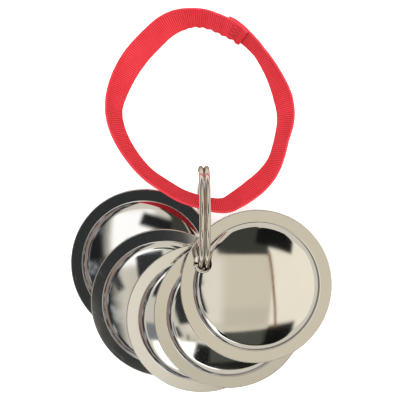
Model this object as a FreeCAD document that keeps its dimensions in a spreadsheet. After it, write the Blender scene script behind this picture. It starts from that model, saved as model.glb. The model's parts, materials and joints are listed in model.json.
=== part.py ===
"""Jingle discs on a split ring, with a ribbon wrist loop: FreeCAD document and STEP files.

Five stamped, plated discs hang on a double coil split ring. A red ribbon, sewn into a loop,
goes through the same ring. Units are millimetres, +Z is up and the set lies on a table at Z = 0.
The split ring stands upright in the YZ plane, and the origin is its lowest point. The discs fan
out on the -Y side, and the ribbon loop lies on the +Y side.
"""
import FreeCAD, Part
import Sketcher
import math
import os

Vector = FreeCAD.Vector
Rotation = FreeCAD.Rotation
Placement = FreeCAD.Placement

DRIVING_SIZES = {
    "disc_diameter": 60.0,
    "sheet_thickness": 0.8,
    "wall_foot_radius": 25.2,
    "wall_top_radius": 24.5,
    "wall_height": 1.0,
    "cap_height": 2.8,
    "bend_radius": 0.4,
    "rim_edge_radius": 0.3,
    "hole_diameter": 7.0,
    "hole_offset": 23.4,
    "ring_outer_diameter": 40.0,
    "wire_diameter": 2.1,
    "coil_pitch": 2.2,
    "crossover_angle": 36.0,
    "crossover_turn": 73.0,
    "ribbon_width": 10.0,
    "ribbon_thickness": 0.9,
    "seam_overlap": 9.0,
    "layer_gap": 0.05,
    "thread_diameter": 0.5,
    "stitch_pitch": 1.8,
    "stitch_proud": 0.15,
}

# Each disc: its height on the ring wire, the direction it fans out to, its tilt, and how far
# its hole sits from the middle of the wire along X and Y. The first lies lowest in the pile.
DISC_POSES = [
    ("disc_1", 7.5, -170.5, 7.5, -0.6, -0.7),
    ("disc_2", 11.0, -130.5, 8.0, 0.2, -0.2),
    ("disc_3", 14.2, -91.5, 7.5, 0.3, 0.9),
    ("disc_4", 17.4, -62.0, 7.0, -0.3, 1.4),
    ("disc_5", 20.6, -23.0, 6.5, -0.6, 1.1),
]

# The ribbon's middle line, anticlockwise from where it goes through the ring: x, y, z and the
# angle in degrees between its face and the table.
RIBBON_ROUTE = [
    (0.0, 5.6, 15.5, 62.0),
    (7.4, 3.6, 15.0, 58.0),
    (13.9, 7.1, 12.5, 48.0),
    (20.8, 12.0, 10.0, 43.0),
    (26.0, 17.0, 7.6, 50.0),
    (29.8, 23.3, 5.7, 60.0),
    (31.7, 30.5, 4.9, 62.0),
    (34.0, 39.4, 4.6, 54.0),
    (32.7, 48.2, 4.4, 49.0),
    (28.5, 57.8, 5.1, 62.0),
    (23.0, 66.4, 5.4, 71.0),
    (17.2, 72.4, 5.4, 66.0),
    (11.8, 76.2, 5.3, 54.0),
    (4.2, 79.2, 5.0, 56.0),
    (-4.4, 80.5, 4.6, 52.0),
    (-13.5, 78.2, 3.2, 30.0),
    (-21.2, 71.3, 2.1, 17.0),
    (-28.2, 63.6, 1.8, 14.0),
    (-33.4, 53.8, 3.2, 32.0),
    (-36.2, 43.6, 4.7, 52.0),
    (-34.3, 34.4, 5.3, 56.0),
    (-29.6, 25.7, 6.9, 59.0),
    (-22.8, 17.4, 9.8, 61.0),
    (-15.2, 12.3, 12.6, 61.0),
    (-7.2, 7.4, 14.9, 61.0),
]
SEAM_SPAN = 11
SECTIONS_PER_SPAN = 2
STITCHES_PER_ROW = 5
STITCH_ROWS = 2
RAMP_SPANS = 1.2


def make_sheet(document):
    """Keep the driving sizes in a spreadsheet, one alias for each."""
    sheet = document.addObject("Spreadsheet::Sheet", "sizes")
    sheet.Label = "sizes"
    for row, (alias, value) in enumerate(DRIVING_SIZES.items(), start=1):
        sheet.set("A%d" % row, alias)
        sheet.set("B%d" % row, str(value))
        sheet.setAlias("B%d" % row, alias)
    document.recompute()
    return sheet


def origin_plane(body, role):
    """Return one of the body's own origin planes."""
    for feature in body.Origin.OriginFeatures:
        if feature.Role == role:
            return feature
    raise ValueError(role)


def attached_sketch(body, name, role):
    """Start a sketch on one of the body's own origin planes."""
    sketch = body.newObject("Sketcher::SketchObject", name)
    sketch.AttachmentSupport = [(origin_plane(body, role), "")]
    sketch.MapMode = "FlatFace"
    return sketch


def bind(sketch, kind, geometry, point, value, formula):
    """Hold a point's distance from the sketch origin to a formula of the sheet."""
    index = sketch.addConstraint(Sketcher.Constraint(kind, -1, 1, geometry, point, value))
    sketch.setExpression("Constraints[%d]" % index, formula)


def bind_radius(sketch, geometry, value, formula):
    index = sketch.addConstraint(Sketcher.Constraint("Radius", geometry, value))
    sketch.setExpression("Constraints[%d]" % index, formula)


def join(sketch, first, first_point, second, second_point):
    sketch.addConstraint(
        Sketcher.Constraint("Coincident", first, first_point, second, second_point))


def arc_about_axis(centre_height, start, end):
    """Return the arc from start up to end, both (radius, height), centred on the disc's axis."""
    radius = math.hypot(start[0], start[1] - centre_height)
    circle = Part.Circle(Vector(0, centre_height, 0), Vector(0, 0, 1), radius)
    first = math.atan2(start[1] - centre_height, start[0])
    last = math.atan2(end[1] - centre_height, end[0])
    return Part.ArcOfCircle(circle, first, last)


def disc_section(body, sheet):
    """Draw half the disc's section: flat rim, short wall and shallow cap, one sheet thick."""
    rim = sheet.disc_diameter / 2
    thickness = sheet.sheet_thickness
    foot = sheet.wall_foot_radius
    top = sheet.wall_top_radius
    wall = sheet.wall_height
    crown = wall + sheet.cap_height
    cap_radius = (top ** 2 + sheet.cap_height ** 2) / (2 * sheet.cap_height)
    centre_height = crown - cap_radius

    sketch = attached_sketch(body, "section", "XZ_Plane")
    corners = [
        ((top, wall), "sizes.wall_top_radius", "sizes.wall_height"),
        ((foot, 0), "sizes.wall_foot_radius", None),
        ((rim, 0), "sizes.disc_diameter / 2", None),
        ((rim, thickness), "sizes.disc_diameter / 2", "sizes.sheet_thickness"),
        ((foot + thickness / 2, thickness),
         "sizes.wall_foot_radius + sizes.sheet_thickness / 2", "sizes.sheet_thickness"),
        ((top + thickness / 4, wall + thickness),
         "sizes.wall_top_radius + sizes.sheet_thickness / 4",
         "sizes.wall_height + sizes.sheet_thickness"),
    ]
    for (start, _, _), (end, _, _) in zip(corners, corners[1:]):
        sketch.addGeometry(Part.LineSegment(Vector(*start), Vector(*end)))
    last_line = len(corners) - 2
    for line in range(last_line):
        join(sketch, line, 2, line + 1, 1)
    for index, (place, radius_formula, height_formula) in enumerate(corners):
        line, point = (index, 1) if index <= last_line else (last_line, 2)
        bind(sketch, "DistanceX", line, point, place[0], radius_formula)
        if height_formula:
            bind(sketch, "DistanceY", line, point, place[1], height_formula)
        else:
            sketch.addConstraint(Sketcher.Constraint("PointOnObject", line, point, -1))

    under_start = corners[0][0]
    over_start = corners[-1][0]
    under = sketch.addGeometry(arc_about_axis(centre_height, under_start, (0, crown)))
    over_centre = overall_cap_centre(over_start, crown + thickness)
    over = sketch.addGeometry(arc_about_axis(over_centre, over_start, (0, crown + thickness)))
    axis_line = sketch.addGeometry(
        Part.LineSegment(Vector(0, crown + thickness), Vector(0, crown)))
    join(sketch, under, 1, 0, 1)
    join(sketch, over, 1, last_line, 2)
    join(sketch, axis_line, 1, over, 2)
    join(sketch, axis_line, 2, under, 2)
    for arc in (under, over):
        sketch.addConstraint(Sketcher.Constraint("PointOnObject", arc, 3, -2))
    for point in (1, 2):
        sketch.addConstraint(Sketcher.Constraint("PointOnObject", axis_line, point, -2))
    bind(sketch, "DistanceY", axis_line, 1, crown + thickness,
         "sizes.wall_height + sizes.cap_height + sizes.sheet_thickness")
    bind(sketch, "DistanceY", axis_line, 2, crown, "sizes.wall_height + sizes.cap_height")
    return sketch


def overall_cap_centre(edge, crown):
    """Return the height of the centre of the arc through edge and the crown on the axis."""
    rise = crown - edge[1]
    radius = (edge[0] ** 2 + rise ** 2) / (2 * rise)
    return crown - radius


def circle_edges(shape, tests):
    """Name the round edges whose (radius, height) match one of the tests."""
    names = []
    for index, edge in enumerate(shape.Edges, start=1):
        if edge.Degenerated or not isinstance(edge.Curve, Part.Circle):
            continue
        for radius, height in tests:
            same_radius = abs(edge.Curve.Radius - radius) < 0.01
            if same_radius and abs(edge.Curve.Center.z - height) < 0.01:
                names.append("Edge%d" % index)
    return names


def add_fillet(document, body, name, base, tests, radius_name):
    fillet = body.newObject("PartDesign::Fillet", name)
    fillet.Base = (base, circle_edges(base.Shape, tests))
    fillet.setExpression("Radius", "sizes." + radius_name)
    document.recompute()
    return fillet


def make_disc(document, sheet, name):
    """Build one stamped disc about its own centre, with its rim's underside at Z = 0."""
    body = document.addObject("PartDesign::Body", name)
    body.Label = name
    section = disc_section(body, sheet)
    turned = body.newObject("PartDesign::Revolution", "stamping")
    turned.Profile = section
    turned.ReferenceAxis = (section, ["V_Axis"])
    turned.Angle = 360
    document.recompute()

    thickness = sheet.sheet_thickness
    foot = sheet.wall_foot_radius
    rim = sheet.disc_diameter / 2
    bends = [(foot, 0), (foot + thickness / 2, thickness)]
    bent = add_fillet(document, body, "bends", turned, bends, "bend_radius")
    rim_edges = [(rim, 0), (rim, thickness)]
    eased = add_fillet(document, body, "eased_rim", bent, rim_edges, "rim_edge_radius")

    hole_sketch = attached_sketch(body, "hole_circle", "XY_Plane")
    circle = Part.Circle(Vector(-sheet.hole_offset, 0, 0), Vector(0, 0, 1), sheet.hole_diameter / 2)
    hole_circle = hole_sketch.addGeometry(circle)
    hole_sketch.addConstraint(Sketcher.Constraint("PointOnObject", hole_circle, 3, -1))
    offset = hole_sketch.addConstraint(
        Sketcher.Constraint("DistanceX", hole_circle, 3, -1, 1, sheet.hole_offset))
    hole_sketch.setExpression("Constraints[%d]" % offset, "sizes.hole_offset")
    bind_radius(hole_sketch, hole_circle, sheet.hole_diameter / 2, "sizes.hole_diameter / 2")
    hole = body.newObject("PartDesign::Pocket", "ring_hole")
    hole.Profile = hole_sketch
    hole.Midplane = True
    hole.setExpression("Length", "4 * (sizes.wall_height + sizes.cap_height)")
    document.recompute()
    removed = eased.Shape.Volume - hole.Shape.Volume
    expected = math.pi * (sheet.hole_diameter / 2) ** 2 * thickness
    print(name, "hole removes %.1f mm3, a flat hole would remove %.1f" % (removed, expected))
    return body


def wire_height_to_y(sheet, height):
    """Return Y of the ring wire's middle at this height, on the discs' side."""
    centre = sheet.ring_outer_diameter / 2
    middle = centre - sheet.wire_diameter / 2
    return -math.sqrt(middle ** 2 - (height - centre) ** 2)


def place_disc(sheet, disc, height, direction, tilt, shift_x, shift_y):
    """Thread the disc on the ring at this height, fanned out and tilted down away from it."""
    hole = Vector(shift_x, wire_height_to_y(sheet, height) + shift_y, height)
    to_hole = Placement(Vector(sheet.hole_offset, 0, -sheet.sheet_thickness / 2), Rotation())
    tilted = Placement(Vector(), Rotation(Vector(0, 1, 0), tilt))
    turned = Placement(hole, Rotation(Vector(0, 0, 1), direction))
    disc.Placement = turned.multiply(tilted).multiply(to_hole)
    print("%s turns about X %.2f Y %.4f, hole height %.2f"
          % (disc.Label, hole.x, hole.y, hole.z))


def coil_section(body, name, sheet, side):
    """Draw the round wire of one coil, on the +Z or -Z side of the ring's middle plane."""
    radius = sheet.ring_outer_diameter / 2 - sheet.wire_diameter / 2
    height = sheet.coil_pitch / 2
    sketch = attached_sketch(body, name, "XZ_Plane")
    circle = Part.Circle(Vector(radius, side * height, 0), Vector(0, 0, 1), sheet.wire_diameter / 2)
    wire = sketch.addGeometry(circle)
    bind(sketch, "DistanceX", wire, 3, radius,
         "sizes.ring_outer_diameter / 2 - sizes.wire_diameter / 2")
    bind(sketch, "DistanceY", wire, 3, side * height, "%d * sizes.coil_pitch / 2" % side)
    bind_radius(sketch, wire, sheet.wire_diameter / 2, "sizes.wire_diameter / 2")
    return sketch


def revolve_coil(body, name, sketch):
    coil = body.newObject("PartDesign::Revolution", name)
    coil.Profile = sketch
    coil.ReferenceAxis = (sketch, ["V_Axis"])
    coil.setExpression("Angle", "360 - sizes.crossover_angle")
    return coil


def make_split_ring(document, sheet):
    """Wind two coils side by side, joined by one crossover between the two free ends."""
    body = document.addObject("PartDesign::Body", "split_ring")
    body.Label = "split_ring"
    upper = coil_section(body, "upper_wire", sheet, 1)
    revolve_coil(body, "upper_coil", upper)
    document.recompute()
    crossover = body.newObject("PartDesign::AdditiveHelix", "crossover")
    crossover.Profile = upper
    crossover.ReferenceAxis = (upper, ["V_Axis"])
    crossover.Mode = "pitch-height-angle"
    crossover.setExpression("Pitch", "sizes.coil_pitch * 360 / sizes.crossover_angle")
    crossover.setExpression("Height", "sizes.coil_pitch")
    crossover.Reversed = True
    document.recompute()
    lower = coil_section(body, "lower_wire", sheet, -1)
    revolve_coil(body, "lower_coil", lower)
    document.recompute()

    centre = sheet.ring_outer_diameter / 2
    upright = Placement(Vector(0, 0, centre), Rotation(Vector(0, 1, 0), 90))
    turned = Placement(Vector(), Rotation(Vector(0, 0, 1), sheet.crossover_turn))
    body.Placement = upright.multiply(turned)
    radius = sheet.wire_diameter / 2
    length = 2 * math.pi * (centre - radius) * (720 - sheet.crossover_angle) / 360
    print("split_ring volume %.1f mm3, wire section by length %.1f"
          % (body.Shape.Volume, math.pi * radius ** 2 * length))
    return body


def route_point(position):
    """Return the ribbon's middle point and roll at a position counted in spans of the route."""
    count = len(RIBBON_ROUTE)
    span = int(math.floor(position)) % count
    part = position - math.floor(position)
    weights = (0.5 * (1 - part) ** 2, 0.5 + part * (1 - part), 0.5 * part ** 2)
    poles = [RIBBON_ROUTE[(span + step) % count] for step in (-1, 0, 1)]
    values = [sum(w * pole[axis] for w, pole in zip(weights, poles)) for axis in range(4)]
    return Vector(*values[:3]), values[3]


def ribbon_axes(position):
    """Return the ribbon's middle point, its direction across and its face normal."""
    small = 0.01
    middle, roll = route_point(position)
    tangent = (route_point(position + small)[0] - route_point(position - small)[0]).normalize()
    outward = tangent.cross(Vector(0, 0, 1)).normalize()
    upward = outward.cross(tangent).normalize()
    angle = math.radians(roll)
    across = outward * math.cos(angle) + upward * math.sin(angle)
    return middle, across, tangent.cross(across)


def ribbon_section(sheet, position, lift):
    """Return the ribbon's rectangular section, lifted off its middle line by lift."""
    middle, across, normal = ribbon_axes(position)
    half_width = across * (sheet.ribbon_width / 2)
    half_depth = normal * (sheet.ribbon_thickness / 2)
    centre = middle + normal * lift
    corners = [centre + half_width + half_depth, centre + half_width - half_depth,
               centre - half_width - half_depth, centre - half_width + half_depth]
    return Part.makePolygon(corners + corners[:1])


def ribbon_end_lift(sheet, into, overlap):
    """Return how far the ribbon is raised, this many spans after its top end."""
    full = sheet.ribbon_thickness + sheet.layer_gap
    share = min(max((into - overlap) / RAMP_SPANS, 0.0), 1.0)
    smooth = share * share * (3 - 2 * share)
    return full * (smooth - 1)


def span_length(span):
    start = route_point(span)[0]
    return (route_point(span + 1)[0] - start).Length


def make_ribbon(document, sheet, stitches):
    """Loft the ribbon once round its route, with its first end lapped over its last."""
    overlap = sheet.seam_overlap / span_length(SEAM_SPAN)
    spans = len(RIBBON_ROUTE) + overlap
    steps = int(round(spans * SECTIONS_PER_SPAN))
    sections = []
    length = 0.0
    for step in range(steps + 1):
        into = spans * step / steps
        lift = ribbon_end_lift(sheet, into, overlap)
        sections.append(ribbon_section(sheet, SEAM_SPAN + into, lift))
        middle = route_point(SEAM_SPAN + into)[0]
        if step:
            length += (middle - previous).Length
        previous = middle
    ribbon = Part.makeLoft(sections, True, True)
    by_length = sheet.ribbon_width * sheet.ribbon_thickness * length
    print("ribbon length %.1f mm, volume %.0f mm3, section by length %.0f mm3, lowest Z %.2f"
          % (length, ribbon.Volume, by_length, ribbon.BoundBox.ZMin))
    feature = document.addObject("Part::Feature", "ribbon_loop")
    feature.Label = "ribbon_loop"
    feature.Shape = ribbon.cut(stitches.Shape)
    return feature


def make_stitches(document, sheet):
    """Set rows of thread through both layers of the seam, a little proud of each face."""
    layers = 2 * sheet.ribbon_thickness + sheet.layer_gap
    rods = []
    for row in range(STITCH_ROWS):
        position = SEAM_SPAN + (row + 0.7) * sheet.seam_overlap / span_length(SEAM_SPAN) / 2.5
        middle, across, normal = ribbon_axes(position)
        for stitch in range(STITCHES_PER_ROW):
            aside = (stitch - (STITCHES_PER_ROW - 1) / 2) * sheet.stitch_pitch
            lower_face = middle + across * aside + normal * (sheet.ribbon_thickness / 2)
            start = lower_face + normal * sheet.stitch_proud
            height = layers + 2 * sheet.stitch_proud
            rods.append(Part.makeCylinder(sheet.thread_diameter / 2, height, start, -normal))
    feature = document.addObject("Part::Feature", "seam_stitching")
    feature.Label = "seam_stitching"
    feature.Shape = Part.makeCompound(rods)
    return feature


def check_document(document, parts):
    """Stop if any feature failed or any sub-part has no sound shape."""
    for item in document.Objects:
        if "Invalid" in item.State or "Error" in item.State:
            raise RuntimeError("%s failed: %s" % (item.Name, item.State))
    for item in parts:
        if item.Shape.isNull() or not item.Shape.isValid():
            raise RuntimeError("%s has no sound shape" % item.Label)


def export(parts):
    os.makedirs("parts", exist_ok=True)
    for item in parts:
        box = item.Shape.BoundBox
        print("%-15s solids %d volume %8.1f  X %6.1f %6.1f  Y %6.1f %6.1f  Z %5.2f %5.2f"
              % (item.Label, len(item.Shape.Solids), item.Shape.Volume,
                 box.XMin, box.XMax, box.YMin, box.YMax, box.ZMin, box.ZMax))
        item.Shape.exportStep("parts/%s.step" % item.Label)


def main():
    document = FreeCAD.newDocument("jingle_discs")
    sheet = make_sheet(document)
    parts = []
    for name, height, direction, tilt, shift_x, shift_y in DISC_POSES:
        disc = make_disc(document, sheet, name)
        place_disc(sheet, disc, height, direction, tilt, shift_x, shift_y)
        parts.append(disc)
    parts.append(make_split_ring(document, sheet))
    stitches = make_stitches(document, sheet)
    parts.append(make_ribbon(document, sheet, stitches))
    parts.append(stitches)
    document.recompute()
    check_document(document, parts)
    export(parts)


main()
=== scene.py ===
"""Looks of the jingle discs: plated discs and split ring, and a ribbed ribbon wrist loop.

Every length is in metres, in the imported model's frame: +Z is up from the table, the split ring
stands in the YZ plane with its lowest point at the origin, and the ribbon loop lies on +Y.
"""
import json
import math

import bpy
import numpy as np
from mathutils import Matrix, Vector


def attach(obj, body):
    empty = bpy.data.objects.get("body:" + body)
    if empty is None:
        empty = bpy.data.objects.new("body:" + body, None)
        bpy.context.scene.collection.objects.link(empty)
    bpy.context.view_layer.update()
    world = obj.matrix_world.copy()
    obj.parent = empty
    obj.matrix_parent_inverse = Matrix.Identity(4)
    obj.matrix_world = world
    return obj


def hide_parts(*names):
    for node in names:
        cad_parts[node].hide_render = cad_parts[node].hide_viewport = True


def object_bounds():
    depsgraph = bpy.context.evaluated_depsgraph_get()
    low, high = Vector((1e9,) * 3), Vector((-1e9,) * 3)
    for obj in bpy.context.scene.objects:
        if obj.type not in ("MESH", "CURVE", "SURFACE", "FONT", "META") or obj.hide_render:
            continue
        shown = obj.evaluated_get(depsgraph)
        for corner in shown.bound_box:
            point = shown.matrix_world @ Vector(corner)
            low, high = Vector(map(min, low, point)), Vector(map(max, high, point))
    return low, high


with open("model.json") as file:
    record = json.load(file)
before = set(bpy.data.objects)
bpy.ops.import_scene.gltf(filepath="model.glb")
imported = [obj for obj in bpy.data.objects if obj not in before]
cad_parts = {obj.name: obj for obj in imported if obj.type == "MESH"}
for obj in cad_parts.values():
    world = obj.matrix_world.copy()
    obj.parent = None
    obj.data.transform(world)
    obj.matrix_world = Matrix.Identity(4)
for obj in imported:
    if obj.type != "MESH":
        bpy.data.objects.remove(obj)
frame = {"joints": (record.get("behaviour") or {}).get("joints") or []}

CAD_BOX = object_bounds()
MM = 0.001
TABLE_Z = 0.0
TINY = 1e-9

# One disc, repeated from the design.
DISC_RADIUS = 30.0 * MM
SHEET = 0.8 * MM
WALL_FOOT = 25.2 * MM
WALL_TOP = 24.5 * MM
CAP_HEIGHT = 2.8 * MM
HOLE_RADIUS = 3.5 * MM
HOLE_OFFSET = 23.4 * MM

# The stamped shoulder between dome and rim: where the dome ends, where the sheet falls most
# steeply, how steep that is, where the rim is flat, and how much all of this is smoothed.
DOME_END = WALL_TOP - 2.8 * MM
STEEPEST_AT = WALL_FOOT - 0.45 * MM
STEEPEST_SLOPE = 0.80
RIM_START = WALL_FOOT + 0.15 * MM
BEND_EASE = 0.08 * MM

# Direction that each disc fans out to and how far it tips, in degrees, as in the design.
DISC_LEANS = {
    "disc_1": (-170.5, 7.5),
    "disc_2": (-130.5, 8.0),
    "disc_3": (-91.5, 7.5),
    "disc_4": (-62.0, 7.0),
    "disc_5": (-23.0, 6.5),
}

# The split ring, repeated from the design, and how its free ends are rounded off: distance from
# the end and share of the wire's radius.
RING_OUTER = 20.0 * MM
WIRE_RADIUS = 1.05 * MM
COIL_PITCH = 2.2 * MM
CROSSOVER_ANGLE = math.radians(36.0)
CROSSOVER_TURN = math.radians(73.0)
END_ROUNDING = [(0.0, 0.62), (0.08 * MM, 0.84), (0.22 * MM, 0.96), (0.45 * MM, 1.0)]

# The ribbon's middle line in millimetres, anticlockwise from where it goes through the ring,
# and the angle in degrees between its face and the table. The route is part.py's.
RIBBON_ROUTE = [
    (0.0, 5.6, 15.5, 62.0),
    (7.4, 3.6, 15.0, 58.0),
    (13.9, 7.1, 12.5, 48.0),
    (20.8, 12.0, 10.0, 43.0),
    (26.0, 17.0, 7.6, 50.0),
    (29.8, 23.3, 5.7, 60.0),
    (31.7, 30.5, 4.9, 62.0),
    (34.0, 39.4, 4.6, 54.0),
    (32.7, 48.2, 4.4, 49.0),
    (28.5, 57.8, 5.1, 62.0),
    (23.0, 66.4, 5.4, 71.0),
    (17.2, 72.4, 5.4, 66.0),
    (11.8, 76.2, 5.3, 54.0),
    (4.2, 79.2, 5.0, 56.0),
    (-4.4, 80.5, 4.6, 52.0),
    (-13.5, 78.2, 3.2, 30.0),
    (-21.2, 71.3, 2.1, 17.0),
    (-28.2, 63.6, 1.8, 14.0),
    (-33.4, 53.8, 3.2, 32.0),
    (-36.2, 43.6, 4.7, 52.0),
    (-34.3, 34.4, 5.3, 56.0),
    (-29.6, 25.7, 6.9, 59.0),
    (-22.8, 17.4, 9.8, 61.0),
    (-15.2, 12.3, 12.6, 61.0),
    (-7.2, 7.4, 14.9, 61.0),
    (0.0, 5.6, 15.5, 62.0),
]
RIBBON_WIDTH = 10.0 * MM
RIBBON_THICKNESS = 0.9 * MM
SEAM_POINT = 11
SEAM_OVERLAP = 9.0 * MM
LAYER_GAP = 0.05 * MM
RIB_PITCH = 0.8 * MM
RIB_HEIGHT = 0.06 * MM
RIB_OVERHANG = 0.05 * MM

# The gathers to the left of the seam, with a coarse and a fine wave each way, and the hem folded
# into the ribbon's upper end.
PUCKER_PITCH = 7.4 * MM
PUCKER_FADE_IN = 3.0 * MM
PUCKER_END = 22.0 * MM
PUCKER_FADE_OUT = 9.0 * MM
PUCKER_SIDEWAYS = (0.46 * MM, 0.10 * MM)
PUCKER_OUTWARD = (0.45 * MM, -0.20 * MM)
FOLD_END = 1.6 * MM
FOLD_FADE = 1.2 * MM
FOLD_WIDENS = 0.05
FOLD_THICKENS = 0.5

# The seam's thread.
THREAD_RADIUS = 0.24 * MM
STITCH_PITCH = 0.9 * MM
STITCH_TURNS = 9
STITCH_ROWS = (0.28 * SEAM_OVERLAP, 0.68 * SEAM_OVERLAP)
THREAD_STANDS_OFF = 0.1 * MM

# The camera hangs over the middle of the set, a little to the left, and takes in this width of
# the table. The film alone is in millimetres.
CAMERA_HEIGHT = 0.40
CAMERA_ASIDE = -0.010
AIM_ASIDE = 0.0004
VIEW_WIDTH = 0.16275
FILM_WIDTH = 36.0

# The lamp and the table.
LAMP_PLACE = (-0.05, 0.05, 0.90)
LAMP_SIZE = 1.5
LAMP_POWER = 18.0
TABLE_HALF = 1.5
TABLE_DROP = 0.02 * MM
PALE_PAPER = (0.93, 0.93, 0.925, 1.0)
PAPER_GLOW = 0.42


# ---------------------------------------------------------------- camera, light and floor

def add_camera():
    """Look straight down on the middle of the set, from about arm's length."""
    low, high = (Vector(corner) for corner in CAD_BOX)
    middle = (low + high) / 2
    aim = Vector((middle.x + AIM_ASIDE, middle.y, TABLE_Z))
    camera = bpy.data.objects.new("camera", bpy.data.cameras.new("camera"))
    bpy.context.scene.collection.objects.link(camera)
    place = aim + Vector((CAMERA_ASIDE, 0.0, CAMERA_HEIGHT))
    forward = (aim - place).normalized()
    right = forward.cross(Vector((0, 1, 0))).normalized()
    upward = right.cross(forward)
    rotation = Matrix((right, upward, -forward)).transposed().to_4x4()
    camera.matrix_world = Matrix.Translation(place) @ rotation
    camera.data.sensor_width = FILM_WIDTH
    camera.data.lens = FILM_WIDTH * CAMERA_HEIGHT / VIEW_WIDTH
    camera.data.clip_start = 0.005
    camera.data.clip_end = 20.0
    bpy.context.scene.camera = camera


class Nodes:
    """Small helper that adds shader nodes and links them in one call.

    An input is named by its socket, with _ for a space, or by its number, as in in_2.
    """

    def __init__(self, tree):
        self.tree = tree
        self.tree.nodes.clear()

    def add(self, kind, settings=None, **inputs):
        node = self.tree.nodes.new(kind)
        for name, value in (settings or {}).items():
            setattr(node, name, value)
        for name, value in inputs.items():
            socket = self.socket(node, name)
            if hasattr(value, "is_output"):
                self.tree.links.new(value, socket)
            else:
                socket.default_value = value
        return node

    @staticmethod
    def socket(node, name):
        if name.startswith("in_"):
            return node.inputs[int(name[3:])]
        return node.inputs[name.replace("_", " ")]

    def maths(self, operation, first, second=0.0, third=0.0):
        node = self.add("ShaderNodeMath", {"operation": operation},
                        in_0=first, in_1=second, in_2=third)
        return node.outputs[0]

    def mix_colour(self, factor, first, second):
        settings = {"data_type": "RGBA", "clamp_factor": True}
        node = self.add("ShaderNodeMix", settings, in_0=factor, in_6=first, in_7=second)
        return node.outputs[2]

    def step(self, value, low, high, to_low=0.0, to_high=1.0):
        settings = {"interpolation_type": "SMOOTHSTEP", "clamp": True}
        node = self.add("ShaderNodeMapRange", settings,
                        in_0=value, in_1=low, in_2=high, in_3=to_low, in_4=to_high)
        return node.outputs[0]


# The studio overhead, as seen from the table: each panel's middle and half size are the sideways
# and lengthwise slopes of the direction to it, then its turn in degrees, how soft its edge is
# and its colour. A panel hides the ones before it.
STUDIO_PANELS = [
    ("brown room", (-3.3, 0.0), (1.9, 3.2), 0, 0.20, (0.29, 0.215, 0.185)),
    ("left stand", (-0.85, 0.03), (0.12, 0.13), 8, 0.03, (0.012, 0.013, 0.015)),
    ("left window", (-0.42, 0.19), (0.21, 0.19), 0, 0.05, (1.15, 1.15, 1.17)),
    ("near window", (-0.18, -0.88), (0.27, 0.25), 0, 0.04, (1.70, 1.72, 1.72)),
    ("left board", (-0.40, -0.22), (0.14, 0.22), 0, 0.05, (0.62, 0.59, 0.53)),
    ("near post", (-0.45, -0.55), (0.08, 0.10), 0, 0.03, (0.20, 0.22, 0.235)),
    ("left clamp", (-0.67, -0.15), (0.05, 0.09), 30, 0.03, (0.05, 0.055, 0.06)),
    ("small clamp", (-0.29, -0.52), (0.028, 0.055), 25, 0.02, (0.07, 0.07, 0.07)),
    ("near clamp", (-0.17, -0.57), (0.040, 0.035), 0, 0.02, (0.06, 0.06, 0.06)),
    ("camera shade", (-0.14, 0.235), (0.19, 0.06), -18, 0.025, (0.012, 0.012, 0.014)),
    ("right board", (0.76, -0.20), (0.36, 0.46), 0, 0.04, (0.92, 0.865, 0.745)),
    ("near rail", (0.30, -0.90), (0.48, 0.17), -14, 0.025, (0.012, 0.012, 0.012)),
    ("near flag", (0.21, -0.74), (0.21, 0.15), 0, 0.02, (0.075, 0.078, 0.070)),
    ("near black flag", (0.57, -0.74), (0.17, 0.17), 0, 0.03, (0.006, 0.006, 0.006)),
    ("far flag", (0.15, 0.40), (0.22, 0.34), 6, 0.02, (0.045, 0.048, 0.040)),
    ("far black flag", (0.51, 0.36), (0.19, 0.22), -14, 0.02, (0.008, 0.008, 0.008)),
    ("cream board", (0.12, -0.25), (0.31, 0.345), 0, 0.015, (0.66, 0.605, 0.495)),
    ("board foot", (0.12, -0.45), (0.29, 0.09), 0, 0.05, (0.58, 0.54, 0.44)),
    ("pale board", (-0.10, -0.22), (0.10, 0.30), 0, 0.06, (0.80, 0.76, 0.67)),
    ("far gap", (-0.315, -0.025), (0.13, 0.155), 10, 0.02, (0.030, 0.033, 0.035)),
    ("near gap", (-0.235, -0.28), (0.075, 0.15), 15, 0.02, (0.030, 0.033, 0.035)),
    ("board edge", (0.455, -0.24), (0.012, 0.37), 9, 0.010, (0.20, 0.09, 0.03)),
]


def room_colour(nodes, direction, rise, aside):
    """Colour the room behind the panels: pale above, dark near the table, cluttered on the left."""
    low_wall, high_wall = (0.17, 0.155, 0.145, 1.0), (0.66, 0.63, 0.56, 1.0)
    dark_clutter, pale_clutter = (0.030, 0.034, 0.038, 1.0), (0.36, 0.38, 0.405, 1.0)
    room = nodes.mix_colour(nodes.step(rise, low=0.05, high=0.32), low_wall, high_wall)
    clutter = nodes.add("ShaderNodeTexNoise", Vector=direction, Scale=6.5, Detail=3.0)
    shapes = nodes.step(clutter.outputs[0], low=0.48, high=0.62)
    left_wall = nodes.mix_colour(shapes, dark_clutter, pale_clutter)
    on_left = nodes.step(aside, low=-0.80, high=-0.58, to_low=1.0, to_high=0.0)
    return nodes.mix_colour(on_left, room, left_wall)


def panel_mask(nodes, slopes, middle, half, turn, soft):
    """Return 1 inside one turned, soft-edged panel and 0 outside it."""
    aside, along = (nodes.maths("SUBTRACT", slopes[axis], middle[axis]) for axis in (0, 1))
    cosine, sine = math.cos(math.radians(turn)), math.sin(math.radians(turn))
    across = nodes.maths("MULTIPLY_ADD", aside, cosine, nodes.maths("MULTIPLY", along, sine))
    forward = nodes.maths("MULTIPLY_ADD", along, cosine, nodes.maths("MULTIPLY", aside, -sine))
    mask = 1.0
    for off, reach in ((across, half[0]), (forward, half[1])):
        edge = nodes.step(nodes.maths("ABSOLUTE", off), reach - soft, reach + soft, 1.0, 0.0)
        mask = nodes.maths("MULTIPLY", mask, edge)
    return mask


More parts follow.
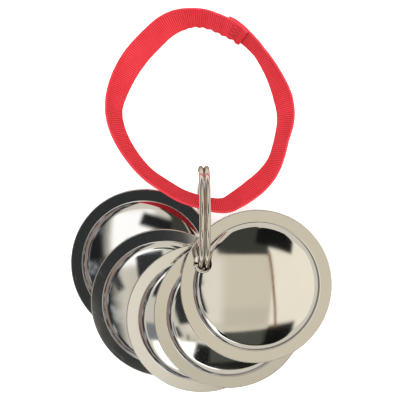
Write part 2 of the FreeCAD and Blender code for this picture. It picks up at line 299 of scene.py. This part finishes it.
def add_world():
    """Surround the set with a room whose panels show in the plating, behind a plain pale wall."""
    world = bpy.data.worlds.new("studio")
    bpy.context.scene.world = world
    world.use_nodes = True
    nodes = Nodes(world.node_tree)
    direction = nodes.add("ShaderNodeTexCoord").outputs["Generated"]
    parts = nodes.add("ShaderNodeSeparateXYZ", in_0=direction)
    rise = parts.outputs[2]
    least_rise = 0.03
    height = nodes.maths("MAXIMUM", rise, least_rise)
    slopes = [nodes.maths("DIVIDE", parts.outputs[axis], height) for axis in (0, 1)]
    colour = room_colour(nodes, direction, rise, slopes[0])
    for _, middle, half, turn, soft, tint in STUDIO_PANELS:
        mask = panel_mask(nodes, slopes, middle, half, turn, soft)
        colour = nodes.mix_colour(mask, colour, (*tint, 1.0))
    below = nodes.step(rise, low=-0.22, high=-0.06, to_low=1.0, to_high=0.0)
    pale_below = (0.98, 0.95, 0.90, 1.0)
    colour = nodes.mix_colour(below, colour, pale_below)
    straight = nodes.add("ShaderNodeLightPath").outputs["Is Camera Ray"]
    colour = nodes.mix_colour(straight, colour, PALE_PAPER)
    background = nodes.add("ShaderNodeBackground", Color=colour, Strength=1.0)
    nodes.add("ShaderNodeOutputWorld", Surface=background.outputs[0])


def add_lights():
    """Add one broad soft light over the set, which the plating does not mirror."""
    lamp = bpy.data.lights.new("overhead", "AREA")
    lamp.shape = "DISK"
    lamp.size = LAMP_SIZE
    lamp.energy = LAMP_POWER
    lamp.specular_factor = 0.0
    light = bpy.data.objects.new("overhead", lamp)
    light.location = LAMP_PLACE
    light.rotation_euler = Vector((0, 0, 1)).rotation_difference(light.location).to_euler()
    light.visible_glossy = False
    bpy.context.scene.collection.objects.link(light)


def add_floor():
    """Lay the set on a plain, pale, matt table, lit faintly from below and never mirrored."""
    mesh = bpy.data.meshes.new("table")
    signs = [(-1, -1), (1, -1), (1, 1), (-1, 1)]
    corners = [(x * TABLE_HALF, y * TABLE_HALF, TABLE_Z - TABLE_DROP) for x, y in signs]
    mesh.from_pydata(corners, [], [(0, 1, 2, 3)])
    table = bpy.data.objects.new("table", mesh)
    bpy.context.scene.collection.objects.link(table)
    material, nodes = new_material("table_paper")
    shader = nodes.add("ShaderNodeBsdfPrincipled", Base_Color=PALE_PAPER, Roughness=0.9,
                       Emission_Color=(1.0, 1.0, 1.0, 1.0), Emission_Strength=PAPER_GLOW)
    nodes.add("ShaderNodeOutputMaterial", Surface=shader.outputs[0])
    mesh.materials.append(material)
    table.visible_glossy = False


# ---------------------------------------------------------------- materials

def new_material(name):
    """Start a material, and return it with a helper for its nodes."""
    material = bpy.data.materials.new(name)
    material.use_nodes = True
    return material, Nodes(material.node_tree)


def plated_metal(name, clean, warm, roughness, scratch_scale):
    """Bright nickel plate: faint smears, hairline scratches and a little waviness."""
    smear_dulls = scratch_dulls = 0.05
    material, nodes = new_material(name)
    place = nodes.add("ShaderNodeTexCoord").outputs["Object"]
    smear = nodes.add("ShaderNodeTexNoise", Vector=place, Scale=90.0, Detail=4.0)
    colour = nodes.mix_colour(smear.outputs[0], (*clean, 1.0), (*warm, 1.0))
    stretched = nodes.add("ShaderNodeMapping", Vector=place, Rotation=(0.0, 0.0, 0.6),
                          Scale=(1.0, 0.04, 1.0))
    hairs = nodes.add("ShaderNodeTexNoise", Vector=stretched.outputs[0], Scale=scratch_scale,
                      Detail=6.0, Roughness=0.7)
    lines = nodes.step(hairs.outputs[0], 0.60, 0.74)
    dull = nodes.maths("MULTIPLY_ADD", smear.outputs[0], smear_dulls, roughness)
    dull = nodes.maths("MULTIPLY_ADD", lines, scratch_dulls, dull)
    wave = nodes.add("ShaderNodeTexNoise", Vector=place, Scale=70.0, Detail=1.0)
    swell = nodes.add("ShaderNodeBump", Height=wave.outputs[0], Strength=0.05, Distance=0.0006)
    bump = nodes.add("ShaderNodeBump", Height=lines, Normal=swell.outputs[0],
                     Strength=0.04, Distance=0.00004)
    shader = nodes.add("ShaderNodeBsdfPrincipled", Base_Color=colour, Metallic=1.0,
                       Roughness=dull, Normal=bump.outputs[0])
    shader.inputs["Specular Tint"].default_value = (0.22, 0.15, 0.11, 1.0)
    nodes.add("ShaderNodeOutputMaterial", Surface=shader.outputs[0])
    return material


def ribbon_cloth():
    """Red grosgrain: cross ribs and threads with painted shade between them, paler edges, soft
    sheen.
    """
    deep_red, pink_red = (0.55, 0.026, 0.029, 1.0), (0.70, 0.060, 0.084, 1.0)
    # Below, the first colour is painted shade for the rib valleys and thread gaps; the second is the
    # paler tone towards both edges.
    painted_shade_red, paler_edge_red = (0.20, 0.006, 0.009, 1.0), (0.66, 0.068, 0.092, 1.0)
    half_pitch = RIB_PITCH / MM / 2
    thread_width = 0.16
    half_width = RIBBON_WIDTH / MM / 2
    edge_paling = 0.35
    material, nodes = new_material("ribbon_cloth")
    woven = nodes.add("ShaderNodeUVMap", {"uv_map": "weave"}).outputs[0]
    parts = nodes.add("ShaderNodeSeparateXYZ", in_0=woven)
    along, across = parts.outputs[0], parts.outputs[1]
    rib = nodes.maths("DIVIDE", nodes.maths("PINGPONG", along, half_pitch), half_pitch)
    threads = nodes.maths("PINGPONG", across, thread_width)
    threads = nodes.maths("DIVIDE", threads, thread_width)
    place = nodes.add("ShaderNodeTexCoord").outputs["Object"]
    patch = nodes.add("ShaderNodeTexNoise", Vector=place, Scale=110.0, Detail=5.0)
    fuzz = nodes.add("ShaderNodeTexNoise", Vector=place, Scale=2600.0, Detail=2.0)
    base = nodes.mix_colour(patch.outputs[0], deep_red, pink_red)
    # Painted shade: darker towards each rib's valley and in the gaps between the lengthwise threads.
    painted_rib_valley_shade = nodes.step(rib, 0.0, 0.60, 0.20, 1.0)
    painted_thread_gap_shade = nodes.step(threads, 0.0, 0.6, 0.80, 1.0)
    speck = nodes.step(fuzz.outputs[0], 0.3, 0.7, 0.82, 1.06)
    # The painted shade of valleys and gaps, times a random fleck of tone from the fuzz.
    shade = nodes.maths("MULTIPLY", nodes.maths("MULTIPLY", painted_rib_valley_shade, painted_thread_gap_shade), speck)
    woven_red = nodes.mix_colour(shade, painted_shade_red, base)
    # Paler and pinker towards both edges of the ribbon.
    edge = nodes.step(nodes.maths("ABSOLUTE", across), half_width - 0.55, half_width - 0.05)
    colour = nodes.mix_colour(nodes.maths("MULTIPLY", edge, edge_paling), woven_red, paler_edge_red)
    relief = nodes.maths("MULTIPLY_ADD", threads, 0.5, nodes.maths("MULTIPLY", fuzz.outputs[0], 0.5))
    bump = nodes.add("ShaderNodeBump", Height=relief, Strength=0.45, Distance=0.00010)
    shader = nodes.add("ShaderNodeBsdfPrincipled", Base_Color=colour, Roughness=0.80,
                       Normal=bump.outputs[0], Sheen_Weight=0.06, Sheen_Roughness=0.4)
    shader.inputs["Sheen Tint"].default_value = (1.0, 0.35, 0.40, 1.0)
    shader.inputs["Specular IOR Level"].default_value = 0.0
    nodes.add("ShaderNodeOutputMaterial", Surface=shader.outputs[0])
    return material


def sewing_thread():
    """Glossy red polyester thread, twisted, with painted shade in the twist's grooves and painted
    light on its ridges.
    """
    deep_red, painted_ridge_light_red = (0.34, 0.008, 0.014, 1.0), (0.64, 0.026, 0.036, 1.0)
    material, nodes = new_material("sewing_thread")
    place = nodes.add("ShaderNodeTexCoord").outputs["Object"]
    twist = nodes.add("ShaderNodeTexWave", Vector=place, Scale=900.0, Distortion=1.5)
    # Painted shade and light: darker in the twist's grooves, brighter on its ridges, on the same
    # bands as the bump.
    colour = nodes.mix_colour(twist.outputs[1], deep_red, painted_ridge_light_red)
    bump = nodes.add("ShaderNodeBump", Height=twist.outputs[1], Strength=0.6, Distance=0.00008)
    shader = nodes.add("ShaderNodeBsdfPrincipled", Base_Color=colour, Roughness=0.42,
                       Normal=bump.outputs[0])
    nodes.add("ShaderNodeOutputMaterial", Surface=shader.outputs[0])
    return material


# ---------------------------------------------------------------- mesh helpers

def mesh_object(name, vertices, faces, material):
    """Make a smooth-shaded mesh object of one material."""
    mesh = bpy.data.meshes.new(name)
    mesh.from_pydata([tuple(v) for v in vertices], [], faces)
    mesh.materials.append(material)
    mesh.polygons.foreach_set("use_smooth", [True] * len(mesh.polygons))
    mesh.update()
    piece = bpy.data.objects.new(name, mesh)
    bpy.context.scene.collection.objects.link(piece)
    return piece


def tube_faces(rings, sides):
    """Join equal rings of vertices, in order, into a tube with closed ends."""
    faces = []
    for ring in range(rings - 1):
        for side in range(sides):
            following = (side + 1) % sides
            first = ring * sides
            second = first + sides
            faces.append((first + side, first + following, second + following, second + side))
    last = (rings - 1) * sides
    faces.append(tuple(reversed(range(sides))))
    faces.append(tuple(last + side for side in range(sides)))
    return faces


def swept_tube(line, radius, sides):
    """Sweep a circle along a line of points."""
    vertices = []
    up = Vector((0, 0, 1))
    for index, point in enumerate(line):
        before = line[max(index - 1, 0)]
        after = line[min(index + 1, len(line) - 1)]
        tangent = (after - before).normalized()
        first = tangent.cross(up).normalized()
        second = tangent.cross(first)
        for side in range(sides):
            turn = 2 * math.pi * side / sides
            vertices.append(point + (first * math.cos(turn) + second * math.sin(turn)) * radius)
    return vertices, tube_faces(len(line), sides)


# ---------------------------------------------------------------- discs

def sheet_slope(radius):
    """How steeply the sheet falls here: a shallow dome, a soft shoulder and a flat rim."""
    dome_bend = 2 * CAP_HEIGHT / WALL_TOP ** 2
    dome = dome_bend * radius
    last = dome_bend * DOME_END
    into = np.clip((radius - DOME_END) / (STEEPEST_AT - DOME_END), 0.0, 1.0)
    shoulder = last + (STEEPEST_SLOPE - last) * into ** 2
    left = np.clip((RIM_START - radius) / (RIM_START - STEEPEST_AT), 0.0, 1.0)
    foot = STEEPEST_SLOPE * left
    return np.where(radius < DOME_END, dome, np.where(radius < STEEPEST_AT, shoulder, foot))


def eased_heights():
    """Return radii and heights of the sheet's middle line over the rim's underside."""
    step = 0.01 * MM
    radii = np.arange(-DISC_RADIUS, DISC_RADIUS + step / 2, step)
    reach = np.arange(-3 * BEND_EASE, 3 * BEND_EASE + step / 2, step)
    kernel = np.exp(-0.5 * (reach / BEND_EASE) ** 2)
    slopes = np.convolve(sheet_slope(np.abs(radii)), kernel / kernel.sum(), mode="same")
    falls = np.where(radii > 0, slopes, -slopes) * step
    heights = np.cumsum(-falls)
    return radii, heights - heights[-1] + SHEET / 2


def disc_rows():
    """Radii of the mesh's rows: close together at the shoulder, open on the dome and rim."""
    shoulder = np.linspace(DOME_END - 0.3 * MM, RIM_START + 0.35 * MM, num=40)
    dome = np.linspace(0.0, shoulder[0] - 0.1 * MM, num=18)
    rim = np.linspace(shoulder[-1] + 0.4 * MM, DISC_RADIUS - SHEET / 2, num=6)
    return np.concatenate([dome, shoulder, rim])


def disc_outline(radii, heights):
    """Closed half section: over the top, round the edge and back underneath."""
    edge_turn, edge_points = 75, 9
    rows = disc_rows()
    middle = np.interp(rows, radii, heights)
    slope = np.interp(rows, radii, np.gradient(heights, radii))
    length = np.sqrt(1 + slope ** 2)
    normal = np.stack([-slope / length, 1 / length], axis=1)
    line = np.stack([rows, middle], axis=1)
    over = line + normal * SHEET / 2
    under = line - normal * SHEET / 2
    over[0, 0] = under[0, 0] = 0.0
    turns = np.radians(np.linspace(edge_turn, -edge_turn, edge_points))
    centre = np.array([DISC_RADIUS - SHEET / 2, SHEET / 2])
    edge = centre + SHEET / 2 * np.stack([np.cos(turns), np.sin(turns)], axis=1)
    return np.concatenate([over, edge, under[::-1]])


def turned_mesh(outline, segments):
    """Revolve an outline that starts and ends on the axis."""
    inner = outline[1:-1]
    angles = np.linspace(0, 2 * math.pi, segments, endpoint=False)
    vertices = [(0.0, 0.0, outline[0][1])]
    for radius, height in inner:
        vertices += [(radius * math.cos(a), radius * math.sin(a), height) for a in angles]
    vertices.append((0.0, 0.0, outline[-1][1]))
    last = len(vertices) - 1
    faces = []
    for side in range(segments):
        following = (side + 1) % segments
        faces.append((0, 1 + side, 1 + following))
        start = 1 + (len(inner) - 1) * segments
        faces.append((last, start + following, start + side))
        for row in range(len(inner) - 1):
            first = 1 + row * segments
            second = first + segments
            faces.append((first + side, second + side, second + following, first + following))
    return vertices, faces


def cut_hole(piece):
    """Punch the ring hole near the rim."""
    bpy.ops.mesh.primitive_cylinder_add(vertices=72, radius=HOLE_RADIUS, depth=20 * MM,
                                        location=(-HOLE_OFFSET, 0.0, 0.0))
    punch = bpy.context.object
    modifier = piece.modifiers.new("ring_hole", "BOOLEAN")
    modifier.operation = "DIFFERENCE"
    modifier.solver = "EXACT"
    modifier.object = punch
    bpy.context.view_layer.update()
    evaluated = piece.evaluated_get(bpy.context.evaluated_depsgraph_get())
    mesh = bpy.data.meshes.new_from_object(evaluated)
    old = piece.data
    piece.modifiers.clear()
    piece.data = mesh
    bpy.data.meshes.remove(old)
    bpy.data.objects.remove(punch)


def set_true_normals(mesh, radii, heights):
    """Give every corner the normal of the true stamped surface, so that reflections are clean."""
    slopes = np.gradient(heights, radii)
    count = len(mesh.vertices)
    places = np.empty(count * 3)
    mesh.vertices.foreach_get("co", places)
    places = places.reshape(-1, 3)
    radius = np.hypot(places[:, 0], places[:, 1])
    outward = places[:, :2] / np.maximum(radius, TINY)[:, None]
    middle = np.interp(radius, radii, heights)
    slope = np.interp(radius, radii, slopes)
    side = np.where(places[:, 2] > middle, 1.0, -1.0)
    across, upward = -slope * side, side
    edge_middle = DISC_RADIUS - SHEET / 2
    hair = 0.0001 * MM
    edge = radius > edge_middle + hair
    across = np.where(edge, radius - edge_middle, across)
    upward = np.where(edge, places[:, 2] - SHEET / 2, upward)
    length = np.hypot(across, upward)
    surface = np.column_stack([outward * (across / length)[:, None], upward / length])
    to_axis = np.column_stack([-HOLE_OFFSET - places[:, 0], -places[:, 1], np.zeros(count)])
    from_hole = np.hypot(to_axis[:, 0], to_axis[:, 1])
    wall_margin = 0.02 * MM
    on_wall = np.abs(from_hole - HOLE_RADIUS) < wall_margin
    hole_normal = to_axis / np.maximum(from_hole, TINY)[:, None]
    normals = []
    for face in mesh.polygons:
        wall = all(on_wall[v] for v in face.vertices) and abs(face.normal.z) < 0.5
        source = hole_normal if wall else surface
        normals += [tuple(source[v]) for v in face.vertices]
    mesh.normals_split_custom_set(normals)


def joint_of(body):
    """Return the joint that carries a body."""
    for joint in frame["joints"]:
        if joint["child"] == body:
            return joint
    raise ValueError(body)


def disc_placement(name):
    """Put a disc where the design threads it: hole on its hinge, fanned out and tilted."""
    direction, tilt = (math.radians(angle) for angle in DISC_LEANS[name])
    hinge = Vector(joint_of(name)["pos_m"])
    turned = Matrix.Rotation(direction, 4, "Z") @ Matrix.Rotation(tilt, 4, "Y")
    to_hole = Matrix.Translation((HOLE_OFFSET, 0.0, -SHEET / 2))
    return Matrix.Translation(hinge) @ turned @ to_hole


def add_discs(material):
    """Stamp one fine disc mesh and thread a copy of it for each of the design's discs."""
    radii, heights = eased_heights()
    vertices, faces = turned_mesh(disc_outline(radii, heights), segments=240)
    first = mesh_object("stamped_disc", vertices, faces, material)
    cut_hole(first)
    set_true_normals(first.data, radii, heights)
    for name in DISC_LEANS:
        disc = bpy.data.objects.new("plated_" + name, first.data)
        bpy.context.scene.collection.objects.link(disc)
        disc.matrix_world = disc_placement(name)
        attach(disc, name)
        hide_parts(name)
    bpy.data.objects.remove(first)


# ---------------------------------------------------------------- split ring

def ring_wire_point(angle):
    """Middle of the wire, this far round from its first free end, and the outward direction."""
    cross_start = 2 * math.pi - CROSSOVER_ANGLE
    share = min(max((angle - cross_start) / CROSSOVER_ANGLE, 0.0), 1.0)
    aside = COIL_PITCH * (share - 0.5)
    turn = angle + CROSSOVER_TURN
    outward = Vector((0.0, math.sin(turn), -math.cos(turn)))
    middle = Vector((aside, 0.0, RING_OUTER)) + outward * (RING_OUTER - WIRE_RADIUS)
    return middle, outward


def add_ring(material):
    """Wind the round wire twice round, with one crossover and two slightly rounded ends."""
    steps = 640
    skipped = 4
    sides = 28
    span = 4 * math.pi - CROSSOVER_ANGLE
    reach = RING_OUTER - WIRE_RADIUS
    ends = [(distance / reach, size) for distance, size in END_ROUNDING]
    turns = [(span * step / steps, 1.0) for step in range(skipped, steps - skipped + 1)]
    stations = ends + turns + [(span - angle, size) for angle, size in reversed(ends)]
    vertices = []
    for angle, size in stations:
        middle, outward = ring_wire_point(angle)
        for side in range(sides):
            turn = 2 * math.pi * side / sides
            spoke = outward * math.cos(turn) + Vector((math.sin(turn), 0.0, 0.0))
            vertices.append(middle + spoke * WIRE_RADIUS * size)
    ring = mesh_object("plated_split_ring", vertices, tube_faces(len(stations), sides), material)
    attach(ring, "ring")
    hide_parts("split_ring")


# ---------------------------------------------------------------- ribbon loop

def ribbon_route():
    """Return the ribbon's middle line, read from a NURBS spline, and the roll at each point."""
    curve = bpy.data.curves.new("ribbon_route", "CURVE")
    curve.dimensions = "3D"
    curve.resolution_u = 24
    spline = curve.splines.new("NURBS")
    spline.points.add(len(RIBBON_ROUTE) - 1)
    for point, (x, y, z, _) in zip(spline.points, RIBBON_ROUTE):
        point.co = (x * MM, y * MM, z * MM, 1.0)
    spline.order_u = 3
    spline.use_endpoint_u = True
    carrier = bpy.data.objects.new("ribbon_route", curve)
    bpy.context.scene.collection.objects.link(carrier)
    bpy.context.view_layer.update()
    line = bpy.data.meshes.new_from_object(carrier)
    points = np.array([tuple(v.co) for v in line.vertices])
    bpy.data.objects.remove(carrier)
    bpy.data.curves.remove(curve)
    bpy.data.meshes.remove(line)
    spans = len(RIBBON_ROUTE) - 2
    here = np.linspace(0, spans, len(points))
    knots = np.concatenate([[0.0], np.arange(spans) + 0.5, [spans]])
    roll = np.interp(here, knots, [math.radians(entry[3]) for entry in RIBBON_ROUTE])
    return points, roll


class RibbonPath:
    """The ribbon's closed middle line, measured by distance from where it meets the ring."""

    def __init__(self, points, roll):
        self.points = points
        gaps = np.linalg.norm(np.diff(points, axis=0), axis=1)
        self.distance = np.concatenate([[0.0], np.cumsum(gaps)])
        self.length = float(self.distance[-1])
        self.roll = roll

    def at(self, distance):
        place = distance % self.length
        return np.array([np.interp(place, self.distance, self.points[:, axis])
                         for axis in range(3)])

    def axes(self, distance):
        """Return the middle point, the direction across the ribbon and its downward normal."""
        reach = 1.2 * MM
        tangent = self.at(distance + reach) - self.at(distance - reach)
        tangent /= np.linalg.norm(tangent)
        outward = np.cross(tangent, (0.0, 0.0, 1.0))
        outward /= np.linalg.norm(outward)
        upward = np.cross(outward, tangent)
        roll = float(np.interp(distance % self.length, self.distance, self.roll))
        across = outward * math.cos(roll) + upward * math.sin(roll)
        return self.at(distance), across, np.cross(tangent, across)

    def nearest(self, point):
        return float(self.distance[np.argmin(np.linalg.norm(self.points - point, axis=1))])


def ease(value):
    """Rise smoothly from 0 to 1 as the value does."""
    share = min(max(value, 0.0), 1.0)
    return share * share * (3 - 2 * share)


def ribbon_section_shape():
    """Round-edged section: (share of half width, share of half thickness) round the ribbon."""
    columns = 21
    flat_share = 0.965
    corner_x, corner_y = 0.988, 0.72
    flat = [(1 - 2 * step / (columns - 1)) * flat_share for step in range(columns)]
    over = [(x, 1.0) for x in flat]
    left = [(-corner_x, corner_y), (-1.0, 0.0), (-corner_x, -corner_y)]
    under = [(x, -1.0) for x in reversed(flat)]
    right = [(corner_x, -corner_y), (1.0, 0.0), (corner_x, corner_y)]
    return over + left + under + right


def ribbon_lift(into):
    """Shift along the downward normal, this far from the top end, that laps it over the other."""
    ramp = 10.0 * MM
    full = RIBBON_THICKNESS + LAYER_GAP
    return full * (ease((into - SEAM_OVERLAP) / ramp) - 1)


def pucker(into, share):
    """Sideways and outward gathers of the ribbon's inner edge, where it bends edgeways."""
    strength = ease(into / PUCKER_FADE_IN) * (1 - ease((into - PUCKER_END) / PUCKER_FADE_OUT))
    strength *= ((1 - share) / 2) ** 2
    turn = 2 * math.pi * into / PUCKER_PITCH
    wave = math.sin(turn + 0.6)
    fine = math.sin(2 * turn + 2.0)
    sideways = strength * (PUCKER_SIDEWAYS[0] * wave + PUCKER_SIDEWAYS[1] * fine)
    outward = strength * (PUCKER_OUTWARD[0] * wave + PUCKER_OUTWARD[1] * fine)
    return sideways, outward


def add_ribbon(path, material):
    """Weave the ribbon as one closed strip, ribbed across and lapped at its seam."""
    seam = path.nearest(np.array(RIBBON_ROUTE[SEAM_POINT][:3]) * MM)
    total = path.length + SEAM_OVERLAP
    steps_per_rib = 5
    steps = int(total / (RIB_PITCH / steps_per_rib))
    shape = ribbon_section_shape()
    vertices, weave = [], []
    for step in range(steps + 1):
        into = total * step / steps
        middle, across, normal = path.axes(seam + into)
        rib = abs(math.sin(math.pi * into / RIB_PITCH))
        fold = 1 - ease((into - FOLD_END) / FOLD_FADE)
        half_width = RIBBON_WIDTH / 2 * (1 + FOLD_WIDENS * fold) + RIB_OVERHANG * rib
        half_depth = RIBBON_THICKNESS / 2 - RIB_HEIGHT + RIB_HEIGHT * rib
        centre = middle + normal * ribbon_lift(into)
        for sideways, depth in shape:
            shift, rise = pucker(into, sideways)
            thick = half_depth * (1 + FOLD_THICKENS * fold * (depth > 0))
            point = centre + across * (sideways * half_width + shift)
            point = point - normal * (depth * thick + rise)
            vertices.append(point)
            weave.append((into / MM, sideways * RIBBON_WIDTH / MM / 2))
    faces = tube_faces(steps + 1, len(shape))
    ribbon = mesh_object("woven_ribbon_loop", vertices, faces, material)
    layer = ribbon.data.uv_layers.new(name="weave")
    corners = [weave[loop.vertex_index] for loop in ribbon.data.loops]
    layer.data.foreach_set("uv", [value for corner in corners for value in corner])
    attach(ribbon, "wrist_loop")
    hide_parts("ribbon_loop")
    return ribbon, seam


def zigzag_line(path, seam, level):
    """Points of the thread's zigzag across the seam, this far along the downward normal."""
    corners = []
    for stitch in range(STITCH_TURNS):
        middle, across, normal = path.axes(seam + STITCH_ROWS[stitch % 2])
        aside = (stitch - (STITCH_TURNS - 1) / 2) * STITCH_PITCH
        corners.append(Vector(middle + across * aside + normal * level))
    parts = 8
    line = []
    for start, end in zip(corners, corners[1:]):
        line += [start.lerp(end, part / parts) for part in range(parts)]
    return line + corners[-1:]


def add_stitches(path, seam, material):
    """Sew the thread across the seam, on both faces."""
    layers = 2 * RIBBON_THICKNESS + LAYER_GAP
    top_level = RIBBON_THICKNESS / 2 - layers - THREAD_STANDS_OFF
    bottom_level = RIBBON_THICKNESS / 2 + THREAD_STANDS_OFF
    vertices, faces = [], []
    for level in (top_level, bottom_level):
        tube_vertices, tube = swept_tube(zigzag_line(path, seam, level), THREAD_RADIUS, sides=10)
        offset = len(vertices)
        vertices += tube_vertices
        faces += [tuple(v + offset for v in face) for face in tube]
    thread = mesh_object("seam_thread", vertices, faces, material)
    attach(thread, "wrist_loop")
    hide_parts("seam_stitching")
    return thread


# ---------------------------------------------------------------- the whole scene

def main():
    """Light and build the set."""
    bpy.context.scene.view_settings.view_transform = "Standard"
    add_camera()
    add_world()
    add_lights()
    add_floor()
    path = RibbonPath(*ribbon_route())
    ribbon, seam = add_ribbon(path, ribbon_cloth())
    thread = add_stitches(path, seam, sewing_thread())
    disc_plate = plated_metal("disc_plate", clean=(0.90, 0.885, 0.85), warm=(0.85, 0.83, 0.785),
                              roughness=0.035, scratch_scale=900.0)
    wire_plate = plated_metal("wire_plate", clean=(0.90, 0.86, 0.79), warm=(0.82, 0.76, 0.67),
                              roughness=0.15, scratch_scale=1500.0)
    add_discs(disc_plate)
    add_ring(wire_plate)


main()
